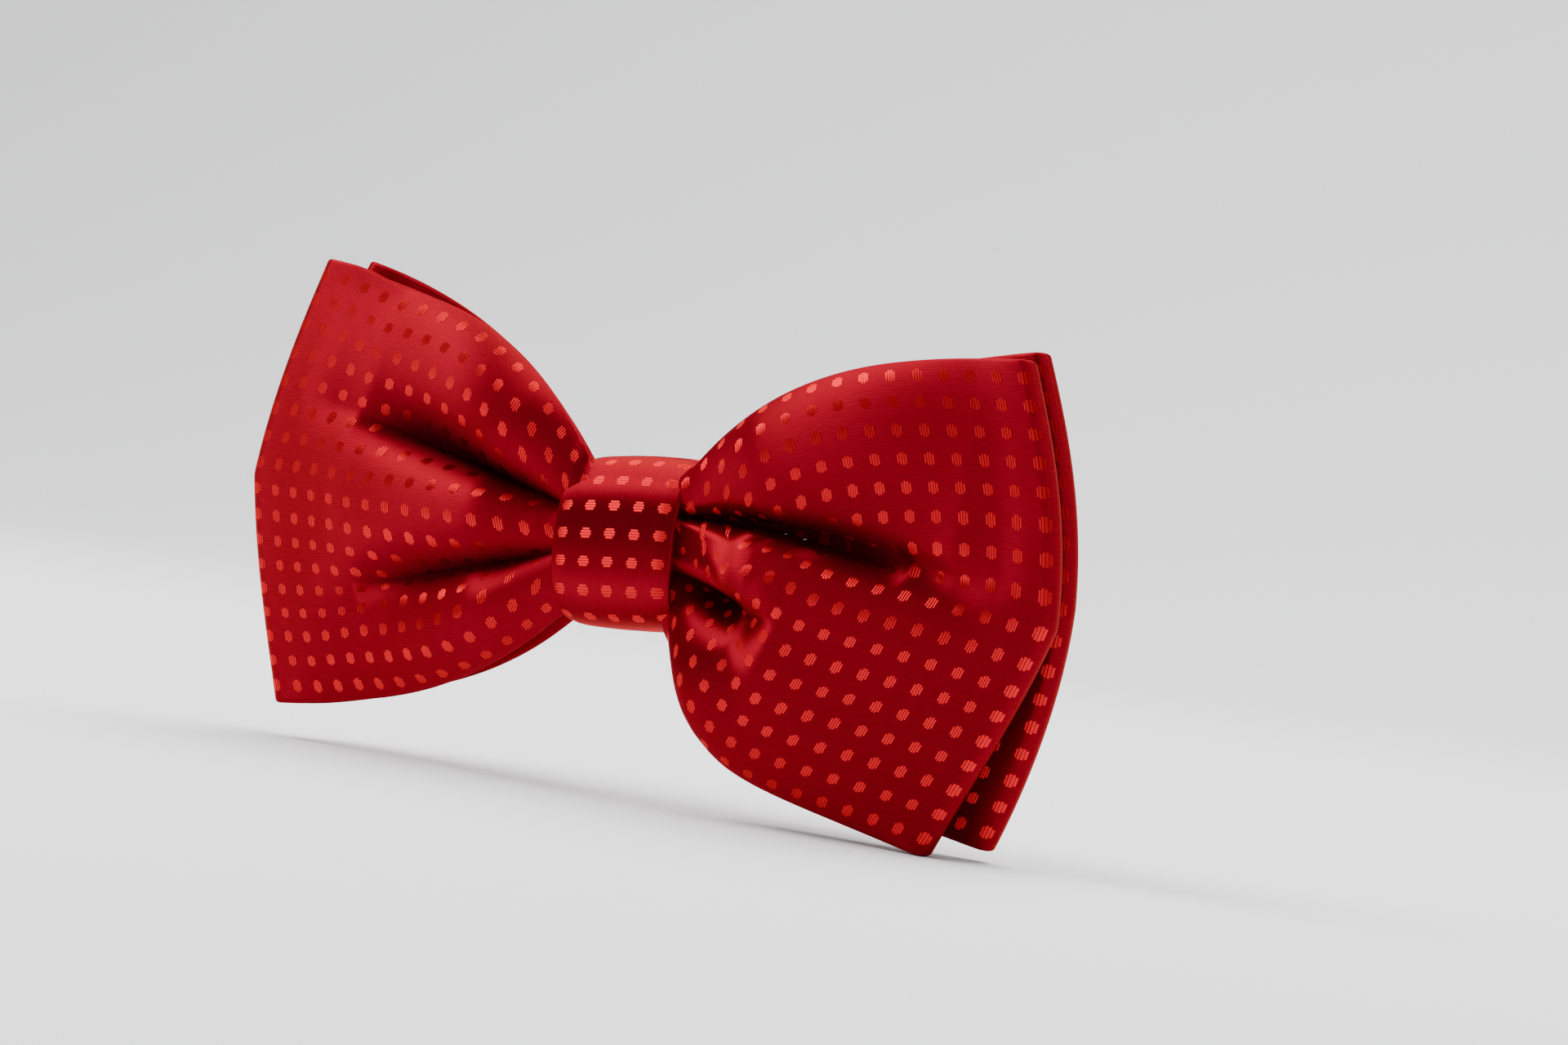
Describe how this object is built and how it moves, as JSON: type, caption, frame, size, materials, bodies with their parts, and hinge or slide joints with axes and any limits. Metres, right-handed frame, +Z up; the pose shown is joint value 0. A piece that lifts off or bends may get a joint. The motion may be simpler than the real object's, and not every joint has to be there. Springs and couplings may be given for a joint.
{
  "type": "pre-tied bow tie",
  "caption": "Pre-tied double-layer bow tie in dotted satin, pleated under a centre knot, with an adjustable hook-and-ring neckband folded behind it.",
  "frame": {"origin": "centre of the flat back of the knot, where the tie bears on a collar", "axes": "+X along the wings towards the end with the hook and slider, +Y out of the knot's back towards the wearer (the bow faces -Y), +Z up as worn"},
  "size_m": [0.13, 0.0278, 0.066],
  "materials": {
    "satin": "red jacquard satin with small woven dots",
    "interlining": "stiff white interlining",
    "thread": "dark red sewing thread",
    "fitting": "polished plated wire and strip"
  },
  "bodies": {
    "bow": {"front_bow": "satin", "front_bow_lining": "interlining", "back_bow": "satin", "back_bow_lining": "interlining", "knot_wrap": "satin", "knot_lining": "interlining", "pleat_thread": "thread", "knot_stitches": "thread", "band_centre": "satin"},
    "right_run_1": {"band_right_1": "satin"},
    "right_run_2": {"band_right_2": "satin"},
    "right_run_3": {"band_right_3": "satin"},
    "right_run_4": {"band_right_4": "satin"},
    "adjuster": {"slider": "fitting", "slider_stitches": "thread", "band_right_return": "satin"},
    "hook_loop": {"band_right_loop": "satin"},
    "hook": {"hook": "fitting"},
    "left_run_1": {"band_left_1": "satin"},
    "left_run_2": {"band_left_2": "satin"},
    "left_run_3": {"band_left_3": "satin"},
    "left_run_4": {"band_left_4": "satin", "band_left_loop": "satin", "band_left_stitches": "thread"},
    "ring": {"ring": "fitting"}
  },
  "joints": [
    {"name": "right_fold_1", "type": "hinge", "parent": "bow", "child": "right_run_1", "pos_m": [0.0107, -0.00185, 0], "axis": [0, 0, 1], "range_deg": [0, 26]},
    {"name": "right_fold_2", "type": "hinge", "parent": "right_run_1", "child": "right_run_2", "pos_m": [0.0506, -0.0011, 0], "axis": [0, 0, -1], "range_deg": [0, 136]},
    {"name": "right_fold_3", "type": "hinge", "parent": "right_run_2", "child": "right_run_3", "pos_m": [0.0114, 0.0004, 0], "axis": [0, 0, 1], "range_deg": [0, 225]},
    {"name": "right_fold_4", "type": "hinge", "parent": "right_run_3", "child": "right_run_4", "pos_m": [0.0506, 0.00216, 0], "axis": [0, 0, -1], "range_deg": [0, 133]},
    {"name": "left_fold_1", "type": "hinge", "parent": "bow", "child": "left_run_1", "pos_m": [-0.0107, -0.00185, 0], "axis": [0, 0, -1], "range_deg": [0, 26]},
    {"name": "left_fold_2", "type": "hinge", "parent": "left_run_1", "child": "left_run_2", "pos_m": [-0.0506, -0.0011, 0], "axis": [0, 0, 1], "range_deg": [0, 136]},
    {"name": "left_fold_3", "type": "hinge", "parent": "left_run_2", "child": "left_run_3", "pos_m": [-0.0114, 0.0004, 0], "axis": [0, 0, -1], "range_deg": [0, 225]},
    {"name": "left_fold_4", "type": "hinge", "parent": "left_run_3", "child": "left_run_4", "pos_m": [-0.0506, 0.00216, 0], "axis": [0, 0, 1], "range_deg": [0, 133]},
    {"name": "slider_slide", "type": "slide", "parent": "right_run_4", "child": "adjuster", "axis": [1, 0, 0], "range_m": [-0.01, 0]},
    {"name": "hook_end_slide", "type": "slide", "parent": "right_run_4", "child": "hook_loop", "axis": [1, 0, 0], "range_m": [-0.0051, 0]},
    {"name": "hook_pivot", "type": "hinge", "parent": "hook_loop", "child": "hook", "pos_m": [0.0216, 0.0043, 0], "axis": [0, 0, -1], "range_deg": [0, 90]},
    {"name": "ring_pivot", "type": "hinge", "parent": "left_run_4", "child": "ring", "pos_m": [-0.0216, 0.0043, 0], "axis": [0, 0, 1], "range_deg": [0, 90]}
  ],
  "couplings": [
    {"joint": "right_fold_1", "follows": "right_fold_2", "ratio": 0.1911},
    {"joint": "right_fold_3", "follows": "right_fold_2", "ratio": 1.6544},
    {"joint": "right_fold_4", "follows": "right_fold_2", "ratio": 0.9779},
    {"joint": "left_fold_1", "follows": "left_fold_2", "ratio": 0.1911},
    {"joint": "left_fold_3", "follows": "left_fold_2", "ratio": 1.6544},
    {"joint": "left_fold_4", "follows": "left_fold_2", "ratio": 0.9779},
    {"joint": "hook_end_slide", "follows": "slider_slide", "ratio": 0.5}
  ]
}
